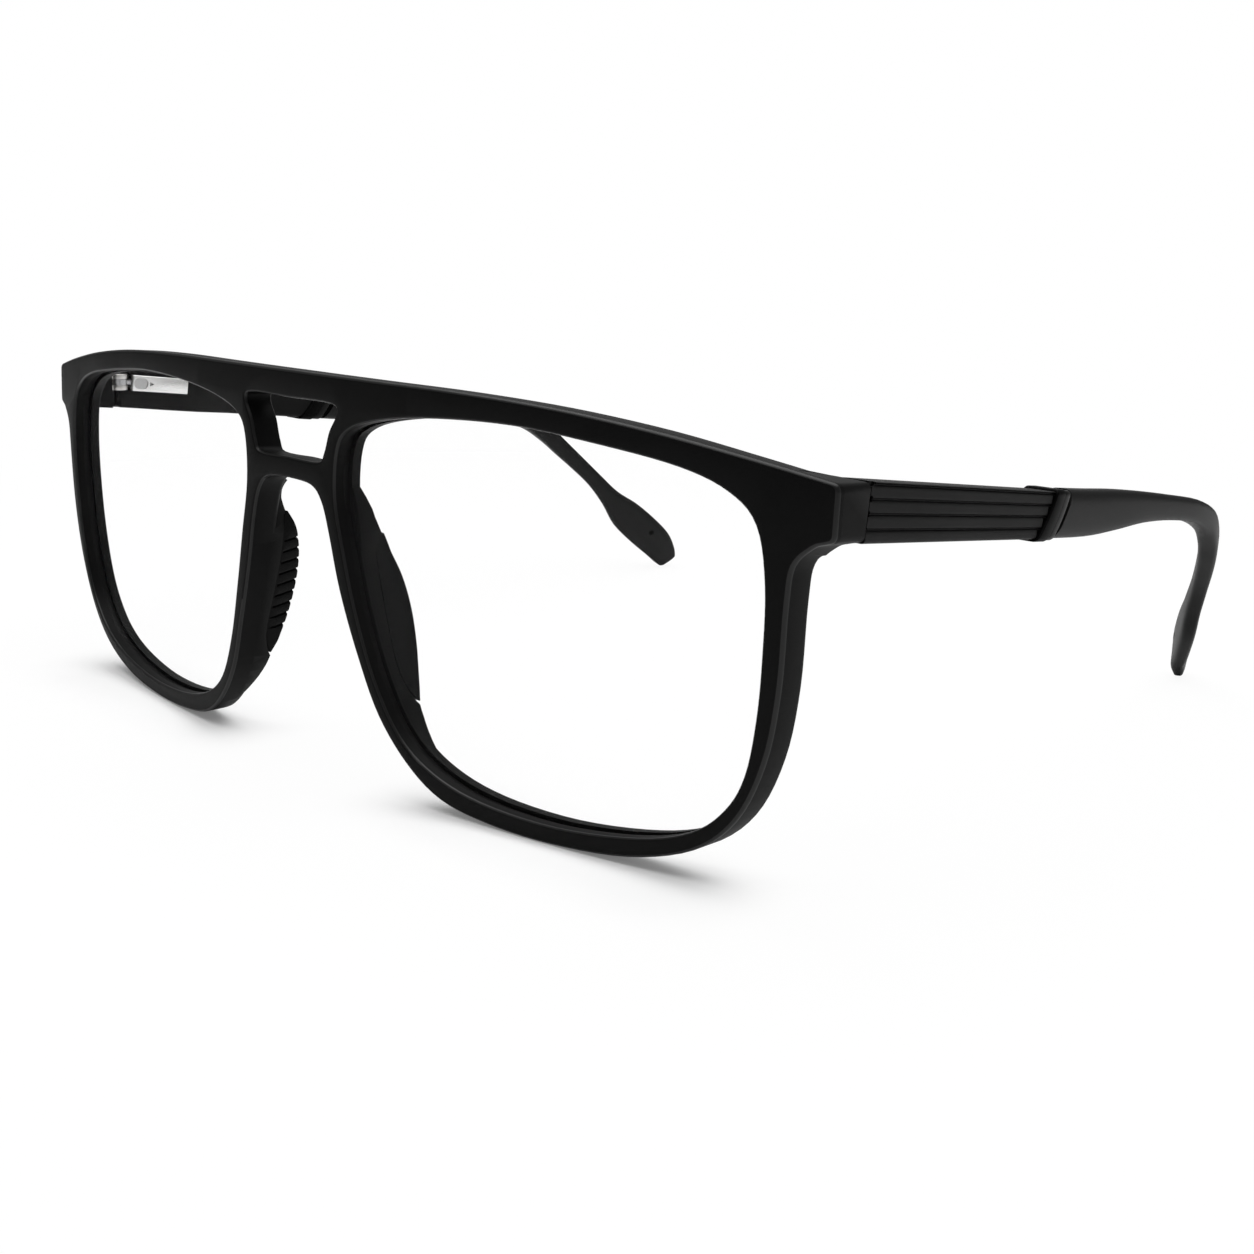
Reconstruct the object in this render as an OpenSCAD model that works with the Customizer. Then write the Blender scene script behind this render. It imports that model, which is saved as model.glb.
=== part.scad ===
// Double-bridge navigator spectacle frame with spring-hinged temples.
// Millimetres. X runs across the face (+X is the wearer's left), Y runs back
// along the temples and Z is up. The frame stands open on its two rims and its
// two temple tips, and the origin is the middle of its footprint on that surface.

/* [Front] */
// Radius of the spherical outer face of the front
face_r = 249; // [240:1:260]
// Thickness of the rims from front to back
rim_depth = 4.2; // [4:0.1:4.6]
// Thickness of the lens
lens_t = 1.2; // [1:0.1:1.4]
// Depth of the lens groove behind the rim's inner edge
groove_depth = 0.6; // [0.5:0.05:0.8]
// Gap between a part and the pocket it is glued or moulded into
seat_gap = 0.03; // [0.02:0.01:0.05]

/* [Temples] */
// Downward slope of the temple, in degrees
arm_slope = 6.2; // [5.8:0.1:6.6]
// Inward toe of the temple, in degrees
arm_toe = 1.4; // [1:0.1:1.8]
// Thickness of the ribbed front half of the temple
arm_t = 4; // [3.8:0.1:4.2]
// Height of the ribbed front half of the temple
arm_h = 5.5; // [5.4:0.05:5.6]
// Number of ribs along the outer face
rib_count = 4; // [3:1:5]
// Depth of the grooves between the ribs
rib_groove = 0.35; // [0.2:0.05:0.5]
// Lean of the collar, in degrees
collar_lean = 27; // [20:1:30]
// How far the collar stands proud of the temple
collar_proud = 0.3; // [0.2:0.05:0.4]

/* [Spring hinge] */
// Radius of the hinge knuckles
knuckle_r = 1.35; // [1.3:0.05:1.4]
// Radius of the hinge screw's shank
screw_r = 0.6; // [0.55:0.01:0.62]
// Radial clearance of the turning parts
run_gap = 0.03; // [0.02:0.01:0.05]
// Number of coils of the hinge spring
spring_turns = 9; // [6:1:12]

/* [Nose pads] */
// Number of grooves across each pad
pad_grooves = 9; // [5:1:11]
// Angle at which the pads flare open towards the face, in degrees
pad_flare = 13; // [10:1:16]

/* [Hidden] */
$fn = 48;
y_mid = 65.03;         // from the bridge to the middle of the footprint
face_y = -1.6;         // foremost point of the front
face_z = 34;           // height of the foremost point
groove_front = 1.45;   // lip in front of the lens
steps = 4;             // points on each stretch of a smooth outline

// Hinge axis, vertical, and the joint plane in front of it
pin_x = 67.45;
pin_y = 16;
pin_z = 41.6;
joint_y = 15;
joint_gap = 0.08;
knuckle_h = 0.72;      // each of the leaf's two knuckles
eye_h = 0.86;          // the slider's eye between them
stack_h = 2 * knuckle_h + eye_h + 0.1;
head_r = 0.95;
head_h = 0.35;
bush_r = 0.85;

// Temple section, measured from the hinge axis in the temple's own slope
arm_in = 0.85;
arm_top = 1.55;
arm_bottom = arm_top - arm_h;
collar_l = 37.7;       // middle of the collar along the temple
ring_w = 2.05;
band_w = 1.2;
waist_w = 1.1;
core_t = 1.9;
core_h = 3.6;
core_front = 28;
core_back = 52;

// Spring housing, along the temple from the hinge axis
house_x = [-1.32, 1.1];
house_z = [-1.2, 1.2];
house_l = [1.75, 12.8];
bore_r = 0.92;
bore_l = [3.4, 12];
rod_r = 0.42;
nut_l = [9.2, 10.3];
plug_l = 11;

// Smooth curve through points: closed or open
function blend(a, b, c, d, t) =
    0.5 * (2 * b + (c - a) * t + (2 * a - 5 * b + 4 * c - d) * t * t
           + (3 * b - a - 3 * c + d) * t * t * t);
function closed_curve(p) = let (n = len(p))
    [for (i = [0 : n - 1]) for (k = [0 : steps - 1])
        blend(p[(i + n - 1) % n], p[i], p[(i + 1) % n], p[(i + 2) % n], k / steps)];
function open_curve(p) = let (n = len(p))
    concat([for (i = [0 : n - 2]) for (k = [0 : steps - 1])
        blend(p[max(i - 1, 0)], p[i], p[i + 1], p[min(i + 2, n - 1)], k / steps)], [p[n - 1]]);
function unit2(v) = v / norm(v);
// A closed outline pushed outwards by d (the outlines run clockwise)
function grown(p, d) = let (n = len(p))
    [for (i = [0 : n - 1])
        let (t = unit2(p[(i + 1) % n] - p[(i + n - 1) % n])) p[i] + d * [-t[1], t[0]]];
function flipped(p) = [for (q = p) [-q[0], q[1]]];
function reversed(p) = [for (i = [len(p) - 1 : -1 : 0]) p[i]];

// Lens opening of the left eye, clockwise from the nose
opening = closed_curve([[9.2, 41.2], [11.2, 43.7], [16.5, 45.3], [25, 46.3], [36, 46.55], [47, 45.6],
    [56, 44.3], [61.5, 42.4], [64.6, 39.4], [65.8, 33.5], [65.8, 26], [65.3, 19.5], [64.1, 13.4],
    [61.9, 9.2], [58, 5.8], [51.5, 3.6], [41, 2.35], [30.5, 2.8], [23.2, 4.7], [18.2, 8.2], [14.6, 14.4],
    [12, 22], [10.2, 29], [8.8, 35.5]]);
// Outer edge of the front from the middle of the brow to the middle of the lower bridge
brow = open_curve([[0, 49.7], [14, 49.65], [28, 49.5], [41, 48.9], [53, 47.65], [64, 45.9], [72.6, 44.2]]);
side = open_curve([[72.6, 38.4], [70.6, 37.9], [68.7, 35.8], [68.25, 32], [67.8, 23], [66.3, 15],
    [63.1, 8.1], [58, 3.6], [50, 0.95], [40, 0.04], [31, 0.3], [24, 1.6], [19, 4.9], [14.8, 10.1],
    [11.9, 16.8], [9.2, 24.5], [7.5, 31.2], [6.2, 34.8], [4.2, 36.5], [0, 36.85]]);
half_edge = concat(brow, side);
front_edge = concat(half_edge, reversed(flipped([for (i = [1 : len(half_edge) - 2]) half_edge[i]])));
// Gap between the two bridges, right half from the top
gap_half = open_curve([[0, 46.4], [7.6, 46.4], [9, 45.5], [7.7, 43.2], [6.8, 40.6], [5.6, 39.4], [0, 39.4]]);
bridge_gap = concat(gap_half, reversed(flipped([for (i = [1 : len(gap_half) - 2]) gap_half[i]])));
// Nasal part of the left rim, where the pad's wing stands
nasal_band = [[8.6, 36.5], [9.6, 32], [11.5, 24.6], [14.4, 15.3], [18, 8.6], [22.6, 5.2], [21.6, 2.6],
    [17.6, 6.4], [14.8, 10.1], [11.9, 16.8], [9.2, 24.5], [7.5, 31.2], [6.3, 34.6], [6.3, 36.5]];
// Side views, [y, z], of the wing and of the pad behind it
seam_y = 3.6;
wing_side = concat([[0, 37], [2.9, 35.6], [3.3, 33.2], [4.3, 31.2], [seam_y, 30.4], [seam_y, 11.6],
    [5.4, 10.9], [5.1, 8.6], [4.4, 5.4]], [[0, 3]]);
pad_side = concat([[seam_y, 30.3]], open_curve([[4.2, 30.9], [5.7, 28.8], [7, 25.4], [7.5, 21.6],
    [7.2, 17.3], [6.1, 13.3], [4.7, 11]]), [[seam_y, 11.7]]);
pad_lean = 17.6;       // lean of the nose side of the rim
pad_pitch = 1.6;
pad_mid = [11.35, 21]; // [x, z] of the nose side of the rim at mid-pad

// Centre line of the temple tip with its height and thickness: [x, y, z, height, thickness]
tip_stations = [[69.4, 54, 36.35, 5.9, 3.7], [69.3, 64, 35.3, 5.75, 3.5], [69.2, 72, 34.8, 5.1, 3.3],
    [69.1, 80, 34.3, 4, 3.2], [69, 88, 33.4, 3.35, 3.1], [68.7, 96, 32.1, 3.2, 3],
    [67.9, 102.9, 29.9, 3.4, 2.9], [66.9, 107.1, 27.1, 3.3, 2.8], [65.7, 110.2, 24.2, 3.2, 2.65],
    [64.2, 113.2, 21.2, 3, 2.5], [62.4, 116.3, 17.8, 3, 2.35], [60.6, 119, 14.2, 3.9, 2.35],
    [59, 121.6, 11, 6.1, 2.45], [57.2, 124.6, 7.9, 6.6, 2.5], [55.6, 127.5, 4.9, 6.2, 2.4],
    [55, 129.25, 2.5, 5.1, 2.1], [54.7, 130.15, 0.83, 3.5, 1.4]];

// ---------- frames of reference ----------
module placed() translate([0, -y_mid, 0]) children();
module on_side(s) placed() mirror([s < 0 ? 1 : 0, 0, 0]) children();
module at_pin() translate([pin_x, pin_y, pin_z]) children();
module along_arm() at_pin() rotate([-arm_slope, 0, arm_toe]) children();

// An outline in the front view, drawn from y0 to y1
module slab(p, y0 = -10, y1 = 30)
    translate([0, y1, 0]) rotate([90, 0, 0]) linear_extrude(y1 - y0) polygon(p);
// A side-view outline, drawn from x0 to x1
module side_slab(p, x0, x1)
    translate([x0, 0, 0]) rotate([90, 0, 90]) linear_extrude(x1 - x0) polygon(p);
module face_ball(d) translate([0, face_y + face_r, face_z]) sphere(r = face_r - d, $fn = 360);
// The layer of the front between two depths behind its outer face
module face_layer(d0, d1) difference() { face_ball(d0); face_ball(d1); }
module block(x, y, z) translate([x[0], y[0], z[0]]) cube([x[1] - x[0], y[1] - y[0], z[1] - z[0]]);

// ---------- front ----------
module endpiece()
    intersection() {
        face_ball(0);
        translate([0, 0, 30]) linear_extrude(20)
            polygon([[66.6, 7], [72.6, 7], [72.6, 10.5], [72.35, joint_y], [66.6, joint_y]]);
        side_slab([[5, 45], [9.6, 44.12], [joint_y, 43.25], [joint_y, 37.7], [9.6, 38.4], [5, 38.6]], 60, 80);
    }

// The brow's top face falls away towards the back beside each hinge
module endpiece_slope() translate([66.6, 7.4, 45.45]) rotate([-10.5, 8.3, 0])
    block([-30, 12], [-10, 15], [0, 10]);

module nose_wing()
    intersection() {
        face_ball(rim_depth - 1);
        slab(nasal_band);
        side_slab(wing_side, 0, 30);
    }

module leaf_anchor(g = 0)
    translate([pin_x, 0, pin_z])
        block([-0.6 - g, 0.5 + g], [10.6 - g, 14.4 + g], [-stack_h / 2 - g, stack_h / 2 + g]);

module hinge_pocket() {
    at_pin() cylinder(r = knuckle_r + 0.4, h = stack_h + 0.25, center = true);
    leaf_anchor(seat_gap);
    translate([pin_x, 0, pin_z])
        block([-0.8, 0.7], [14.3, joint_y + 0.2], [-stack_h / 2 - 0.12, stack_h / 2 + 0.12]);
}
module pad_seat() intersection() {
    slab(nasal_band, seam_y, 12);
    side_slab(grown(reversed(pad_side), seat_gap), 0, 30);
}

module front_frame() color([0.09, 0.09, 0.09]) placed()
    difference() {
        union() {
            intersection() { face_layer(0, rim_depth); slab(front_edge); }
            for (s = [0, 1]) mirror([s, 0, 0]) { endpiece(); nose_wing(); }
        }
        for (s = [0, 1]) mirror([s, 0, 0]) {
            slab(opening);
            intersection() {
                face_layer(groove_front, groove_front + lens_t + 0.1);
                slab(grown(opening, groove_depth));
            }
            pad_peg(0.4 + seat_gap);
            pad_seat();
            hinge_pocket();
            endpiece_slope();
        }
        slab(bridge_gap);
    }

module lens(s) color([0.9, 0.95, 0.98, 0.35]) on_side(s)
    intersection() {
        face_layer(groove_front + 0.05, groove_front + 0.05 + lens_t);
        slab(grown(opening, groove_depth - 0.05));
    }

module pad_peg(r) translate([pad_mid[0] + 0.15, 2.2, pad_mid[1]])
    rotate([-90, 0, 0]) cylinder(r = r, h = 1.7);

// The nose side of the pad leans with the rim and flares open towards the face
module pad_face() translate([pad_mid[0] - 1.1, seam_y, pad_mid[1]])
    rotate([0, -pad_lean, 0]) rotate([0, 0, -pad_flare]) children();

module nose_pad(s) color([0.13, 0.13, 0.13]) on_side(s) {
    difference() {
        intersection() {
            slab(nasal_band, seam_y + seat_gap, 12);
            side_slab(pad_side, 0, 30);
        }
        pad_face() block([-10, 0], [-5, 12], [-20, 20]);
        intersection() {
            pad_face() for (k = [0 : pad_grooves - 1])
                translate([0, 0, (k - (pad_grooves - 1) / 2) * pad_pitch])
                    block([-1, 0.3], [0.4, 12], [-0.2, 0.2]);
            side_slab([for (p = pad_side) [seam_y + 0.88 * (p[0] - seam_y), p[1]]], 0, 30);
        }
    }
    pad_peg(0.4);
}

// ---------- spring hinge ----------
module knuckle_pair() for (k = [-1, 1])
    translate([0, 0, k * (stack_h - knuckle_h) / 2]) {
        cylinder(r = knuckle_r, h = knuckle_h, center = true);
        block([-0.6, 0.5], [14.2 - pin_y, 0], [-knuckle_h / 2, knuckle_h / 2]);
    }

module hinge_leaf(s) color([0.75, 0.75, 0.76]) on_side(s)
    difference() {
        union() { at_pin() knuckle_pair(); leaf_anchor(); }
        at_pin() cylinder(r = screw_r + run_gap, h = 10, center = true);
        at_pin() translate([0, 0, stack_h / 2 - head_h - 0.03]) cylinder(r = head_r + run_gap, h = 2);
    }

module hinge_screw(s) color([0.55, 0.55, 0.56]) on_side(s) at_pin()
    difference() {
        union() {
            translate([0, 0, -stack_h / 2]) cylinder(r = screw_r, h = stack_h - head_h / 2);
            translate([0, 0, stack_h / 2 - head_h]) cylinder(r = head_r, h = head_h);
        }
        block([-2, 2], [-0.11, 0.11], [stack_h / 2 - 0.18, 2]);
    }

module hinge_bush(s) color([0.85, 0.83, 0.78]) on_side(s) at_pin()
    difference() {
        cylinder(r = bush_r, h = eye_h, center = true);
        cylinder(r = screw_r + 0.02, h = 5, center = true);
    }

module hinge_slider(s) color([0.7, 0.7, 0.71]) on_side(s)
    difference() {
        union() {
            at_pin() cylinder(r = knuckle_r - 0.05, h = eye_h, center = true);
            along_arm() block([-0.9, 0.9], [0, 1.6], [-0.25, 0.25]);
            along_arm() rotate([-90, 0, 0]) translate([0, 0, 1]) cylinder(r = rod_r, h = nut_l[1] - 0.8);
        }
        at_pin() cylinder(r = bush_r + run_gap, h = 5, center = true);
    }

module spring_nut(s) color([0.72, 0.6, 0.35]) on_side(s) along_arm() rotate([-90, 0, 0])
    translate([0, 0, nut_l[0]]) difference() {
        cylinder(r = bore_r - 0.1, h = nut_l[1] - nut_l[0]);
        translate([0, 0, -1]) cylinder(r = rod_r + 0.02, h = 5);
    }

// A round wire wound about the pull rod
spring_r = 0.66;
wire_r = 0.12;
wire_sides = 8;
turn_rings = 12;
spring_len = nut_l[0] - bore_l[0] - 2 * wire_r - 0.1;
spring_rings = spring_turns * turn_rings;
function coil_point(i, j) =
    let (a = 360 * i / turn_rings, b = 360 * j / wire_sides, r = spring_r + wire_r * cos(b))
    [r * cos(a), bore_l[0] + wire_r + 0.05 + spring_len * i / spring_rings + wire_r * sin(b), r * sin(a)];
module hinge_spring(s) color([0.6, 0.6, 0.62]) on_side(s) along_arm()
    polyhedron(
        points = [for (i = [0 : spring_rings]) for (j = [0 : wire_sides - 1]) coil_point(i, j)],
        faces = concat(
            [for (i = [0 : spring_rings - 1]) for (j = [0 : wire_sides - 1])
                let (a = i * wire_sides + j, b = i * wire_sides + (j + 1) % wire_sides)
                [a, b, b + wire_sides, a + wire_sides]],
            [[for (j = [wire_sides - 1 : -1 : 0]) j]],
            [[for (j = [0 : wire_sides - 1]) spring_rings * wire_sides + j]]));

module spring_housing(s) color([0.78, 0.78, 0.79]) on_side(s) along_arm()
    difference() {
        intersection() {
            block(house_x, house_l, house_z);
            translate([0, house_l[1] - 2, 0]) rotate([0, 90, 0]) union() {
                cylinder(r = 2, h = 6, center = true);
                translate([-2, -20, -3]) cube([4, 20, 6]);
            }
        }
        rotate([-90, 0, 0]) translate([0, 0, bore_l[0]]) cylinder(r = bore_r, h = 20);
        rotate([-90, 0, 0]) cylinder(r = rod_r + run_gap, h = 5);
    }

module housing_plug(s) color([0.6, 0.6, 0.61]) on_side(s) along_arm() rotate([-90, 0, 0])
    translate([0, 0, plug_l + 0.4]) cylinder(r = bore_r - 0.02, h = bore_l[1] - plug_l - 0.2);

// ---------- temples ----------
arm_x = [arm_in, arm_in + arm_t];
rib_pitch = arm_h / rib_count;

// The temple's section, grown by d, from one distance along it to another
module arm_prism(d, l0, l1)
    block([arm_x[0] - d, arm_x[1] + d], [l0, l1], [arm_bottom - d, arm_top + d]);
// What lies between two leaning planes across the temple
module leaning(l0, l1)
    translate([0, collar_l, (arm_top + arm_bottom) / 2]) rotate([-collar_lean, 0, 0])
        block([-10, 15], [l0, l1], [-60, 60]);
module core_prism(g, l0, l1)
    translate([arm_in + arm_t / 2, 0, (arm_top + arm_bottom) / 2])
        block([-core_t / 2 - g, core_t / 2 + g], [l0, l1], [-core_h / 2 - g, core_h / 2 + g]);
ring_l = [-ring_w / 2, ring_w / 2];
band_l = [ring_l[1] + 0.05, ring_l[1] + 0.05 + band_w];

module temple_arm(s) color([0.08, 0.08, 0.08]) on_side(s)
    difference() {
        intersection() {
            along_arm() intersection() {
                arm_prism(0, -5, 45);
                leaning(-60, ring_l[0] - 0.05);
            }
            block([0, 100], [joint_y + joint_gap, 100], [0, 60]);
        }
        along_arm() {
            for (k = [1 : rib_count - 1])
                translate([arm_x[1], 0, arm_bottom + k * rib_pitch]) rotate([0, 45, 0])
                    block([-rib_groove, rib_groove], [-5, 50], [-rib_groove, rib_groove]);
            block([house_x[0], house_x[1] + seat_gap], [-2, house_l[1] + seat_gap],
                  [house_z[0] - seat_gap, house_z[1] + seat_gap]);
            core_prism(seat_gap, core_front - 0.1, 60);
        }
        at_pin() cylinder(r = knuckle_r + 0.35, h = stack_h + 0.25, center = true);
    }

module collar(s, span, d) on_side(s) along_arm()
    difference() {
        intersection() { arm_prism(d, 28, 46); leaning(span[0], span[1]); }
        core_prism(seat_gap, 20, 60);
    }
module collar_ring(s) color([0.1, 0.1, 0.1]) collar(s, ring_l, collar_proud);
module collar_band(s) color([0.16, 0.16, 0.16]) collar(s, band_l, collar_proud - 0.1);

module temple_core(s) color([0.04, 0.04, 0.04]) on_side(s) along_arm()
    core_prism(0, core_front, core_back);

// The tip is swept through its stations with a rounded section
tip_sides = 20;
tip_curve = open_curve(tip_stations);
function sgn_pow(v, e) = sign(v) * pow(abs(v), e);
function unit3(v) = v / norm(v);
function centre(i) = [tip_curve[i][0], tip_curve[i][1], tip_curve[i][2]];
function tip_way(i) = unit3(centre(min(i + 1, len(tip_curve) - 1)) - centre(max(i - 1, 0)));
function tip_ring(i) =
    let (way = tip_way(i), out = unit3([-way[1], way[0], 0]), up = cross(way, out), q = tip_curve[i])
    [for (j = [0 : tip_sides - 1]) let (a = 360 * j / tip_sides)
        centre(i) + up * q[3] / 2 * sgn_pow(sin(a), 0.6) + out * q[4] / 2 * sgn_pow(cos(a), 0.6)];
module temple_tip(s) color([0.12, 0.12, 0.12]) on_side(s)
    difference() {
        polyhedron(
            points = [for (i = [0 : len(tip_curve) - 1]) each tip_ring(i)],
            faces = concat(
                [for (i = [0 : len(tip_curve) - 2]) for (j = [0 : tip_sides - 1])
                    let (a = i * tip_sides + j, b = i * tip_sides + (j + 1) % tip_sides)
                    each [[a, a + tip_sides, b], [b, a + tip_sides, b + tip_sides]]],
                [[for (j = [0 : tip_sides - 1]) j]],
                [[for (j = [tip_sides - 1 : -1 : 0]) (len(tip_curve) - 1) * tip_sides + j]]));
        along_arm() {
            core_prism(seat_gap, 30, core_back + 0.1);
            leaning(-60, band_l[1] + waist_w);
        }
    }

front_frame();
lens(1);  // lens_left
lens(-1);  // lens_right
nose_pad(1);  // nose_pad_left
nose_pad(-1);  // nose_pad_right
hinge_leaf(1);  // hinge_leaf_left
hinge_leaf(-1);  // hinge_leaf_right
hinge_screw(1);  // hinge_screw_left
hinge_screw(-1);  // hinge_screw_right
hinge_bush(1);  // hinge_bush_left
hinge_bush(-1);  // hinge_bush_right
hinge_slider(1);  // hinge_slider_left
hinge_slider(-1);  // hinge_slider_right
spring_nut(1);  // spring_nut_left
spring_nut(-1);  // spring_nut_right
hinge_spring(1);  // hinge_spring_left
hinge_spring(-1);  // hinge_spring_right
spring_housing(1);  // spring_housing_left
spring_housing(-1);  // spring_housing_right
housing_plug(1);  // housing_plug_left
housing_plug(-1);  // housing_plug_right
temple_arm(1);  // temple_arm_left
temple_arm(-1);  // temple_arm_right
temple_core(1);  // temple_core_left
temple_core(-1);  // temple_core_right
collar_ring(1);  // collar_ring_left
collar_ring(-1);  // collar_ring_right
collar_band(1);  // collar_band_left
collar_band(-1);  // collar_band_right
temple_tip(1);  // temple_tip_left
temple_tip(-1);  // temple_tip_right
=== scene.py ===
# Matt black double-bridge navigator spectacles with sprung hinges, standing open on
# their rims and ear tips. Metres. +X is the wearer's left, +Y runs back along the
# temples and +Z is up, as in the frame.
import math

import bmesh
import bpy
from mathutils import Matrix, Vector


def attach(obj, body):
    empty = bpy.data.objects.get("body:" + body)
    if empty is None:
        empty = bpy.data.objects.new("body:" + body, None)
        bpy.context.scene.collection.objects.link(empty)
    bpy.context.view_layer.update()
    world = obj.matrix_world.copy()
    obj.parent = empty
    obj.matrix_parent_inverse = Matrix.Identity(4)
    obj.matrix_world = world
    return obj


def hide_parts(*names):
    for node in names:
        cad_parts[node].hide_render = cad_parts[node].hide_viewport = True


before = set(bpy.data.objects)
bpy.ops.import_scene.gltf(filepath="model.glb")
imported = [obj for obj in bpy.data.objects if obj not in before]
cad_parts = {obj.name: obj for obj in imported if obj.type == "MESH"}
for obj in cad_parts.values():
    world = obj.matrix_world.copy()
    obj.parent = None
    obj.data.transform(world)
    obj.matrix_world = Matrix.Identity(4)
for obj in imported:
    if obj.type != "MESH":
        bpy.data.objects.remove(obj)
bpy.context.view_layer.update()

bpy.ops.object.select_all(action="DESELECT")

# ---------------------------------------------------------------- studio and camera
# A white table under a broad soft light overhead and two weak ones behind, seen from
# in front of the wearer's left. The table shows plain white to the camera, with part
# of its lit colour kept, mostly at the feet of the rims, for the frame's shadow.
bpy.context.scene.view_settings.view_transform = "Standard"
VIEW_FROM = (0.16493, -0.18503, 0.0683)
VIEW_RIGHT = (0.730708, 0.682067, 0.029153)
VIEW_UP = (-0.182768, 0.154301, 0.970972)
VIEW_BACK = (0.657770, -0.714826, 0.237409)

camera_data = bpy.data.cameras.new("camera")
camera_data.sensor_width = 36
camera_data.lens = 48.12
camera = bpy.data.objects.new("camera", camera_data)
bpy.context.scene.collection.objects.link(camera)
camera.matrix_world = Matrix((
    (VIEW_RIGHT[0], VIEW_UP[0], VIEW_BACK[0], VIEW_FROM[0]),
    (VIEW_RIGHT[1], VIEW_UP[1], VIEW_BACK[1], VIEW_FROM[1]),
    (VIEW_RIGHT[2], VIEW_UP[2], VIEW_BACK[2], VIEW_FROM[2]),
    (0, 0, 0, 1)))
camera_data.clip_start = 0.005
bpy.context.scene.camera = camera


class Sock:
    """A shader socket that Python's own arithmetic works on."""

    def __init__(self, shader, socket):
        self.shader, self.socket = shader, socket

    def _math(self, operation, a, b):
        return self.shader.node("ShaderNodeMath", {"operation": operation}, {0: a, 1: b})

    def __add__(self, other):
        return self._math("ADD", self, other)

    def __radd__(self, other):
        return self._math("ADD", other, self)

    def __sub__(self, other):
        return self._math("SUBTRACT", self, other)

    def __rsub__(self, other):
        return self._math("SUBTRACT", other, self)

    def __mul__(self, other):
        return self._math("MULTIPLY", self, other)

    def __rmul__(self, other):
        return self._math("MULTIPLY", other, self)


class Shader:
    """One material, with a Principled shader and a way to add any other node."""

    def __init__(self, name, **constants):
        self.material = bpy.data.materials.new(name)
        self.material.use_nodes = True
        self.tree = self.material.node_tree
        self.main = self.tree.nodes["Principled BSDF"]
        for socket, value in constants.items():
            self.main.inputs[socket.replace("_", " ")].default_value = value

    def node(self, kind, settings=None, inputs=None, output=0):
        made = self.tree.nodes.new(kind)
        for key, value in (settings or {}).items():
            setattr(made, key, value)
        for key, value in (inputs or {}).items():
            self.feed(made.inputs[key], value)
        return Sock(self, made.outputs[output])

    def feed(self, socket, value):
        if isinstance(value, Sock):
            self.tree.links.new(value.socket, socket)
        else:
            socket.default_value = value

    def set(self, name, value):
        self.feed(self.main.inputs[name], value)

    def place(self):
        return self.node("ShaderNodeTexCoord", output="Object")

    def noise(self, scale, detail=3, where=None):
        return self.node("ShaderNodeTexNoise", None,
                         {"Vector": where or self.place(), "Scale": scale, "Detail": detail})

    def steps(self, value, low, high, to_low=0.0, to_high=1.0):
        return self.node("ShaderNodeMapRange", {"interpolation_type": "SMOOTHSTEP"}, {
            "Value": value, "From Min": low, "From Max": high,
            "To Min": to_low, "To Max": to_high})

    def mix(self, factor, first, second):
        return self.node("ShaderNodeMix", {"data_type": "RGBA"},
                         {0: factor, 6: first, 7: second}, 2)

    def bump(self, height, distance, strength=1.0):
        self.set("Normal", self.node("ShaderNodeBump", None, {
            "Height": height, "Distance": distance, "Strength": strength}))


def grey(level):
    return (level, level, level, 1)


SHADE_NEAR = 0.15      # share of plain white at the feet of the rims, the rest is lit
SHADE_WIDE = 0.92      # and elsewhere under the frame
SHADE_ENDS = (0.1, 0.25)   # from here to here the table fades to plain white
FOOT_LINE, FOOT_ASIDE = 0.061, 0.04    # where the rims stand, in front and to each side

table_white = Shader("white_table", Roughness=0.9, Specular_IOR_Level=0.0)
table_white.set("Base Color", table_white.mix(table_white.noise(3), grey(0.9), grey(0.92)))
rays = table_white.tree.nodes.new("ShaderNodeLightPath").outputs
seen = sum(Sock(table_white, rays[f"Is {kind} Ray"]) for kind in ("Camera", "Transmission"))
reach = table_white.node("ShaderNodeVectorMath", {"operation": "LENGTH"},
                         {0: table_white.place()}, 1)
across, along = (table_white.node("ShaderNodeSeparateXYZ", None, {0: table_white.place()}, k)
                 for k in (0, 1))


def off_by(value):
    return table_white.node("ShaderNodeMath", {"operation": "ABSOLUTE"}, {0: value})


foot = (1 - table_white.steps(off_by(along + FOOT_LINE), 0.003, 0.014)) * (
    1 - table_white.steps(off_by(off_by(across) - FOOT_ASIDE), 0.014, 0.03))
near = SHADE_WIDE - (SHADE_WIDE - SHADE_NEAR) * foot
glow = table_white.node("ShaderNodeEmission", None, {"Color": grey(1), "Strength": 1.0})
lit = Sock(table_white, table_white.main.outputs[0])
surface = table_white.node("ShaderNodeMixShader", None, {
    0: seen * table_white.steps(reach, *SHADE_ENDS, near, 1.0), 1: lit, 2: glow})
table_white.feed(table_white.tree.nodes["Material Output"].inputs["Surface"], surface)
bpy.ops.mesh.primitive_plane_add(size=8)
table_top = bpy.context.object
table_top.name = "table_top"
table_top.data.materials.append(table_white.material)
bpy.ops.object.select_all(action="DESELECT")

world = bpy.data.worlds.new("studio")
bpy.context.scene.world = world
world.use_nodes = True
room = world.node_tree
plain = room.nodes["Background"]
plain.inputs["Color"].default_value = grey(1)
plain.inputs["Strength"].default_value = 0.22
backdrop = room.nodes.new("ShaderNodeBackground")
backdrop.inputs["Color"].default_value = grey(1)
backdrop.inputs["Strength"].default_value = 1.0
which = room.nodes.new("ShaderNodeMixShader")
path = room.nodes.new("ShaderNodeLightPath")
either = room.nodes.new("ShaderNodeMath")
either.operation = "MAXIMUM"
room.links.new(path.outputs["Is Camera Ray"], either.inputs[0])
room.links.new(path.outputs["Is Transmission Ray"], either.inputs[1])
room.links.new(either.outputs[0], which.inputs[0])
room.links.new(plain.outputs[0], which.inputs[1])
room.links.new(backdrop.outputs[0], which.inputs[2])
room.links.new(which.outputs[0], room.nodes["World Output"].inputs[0])

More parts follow.
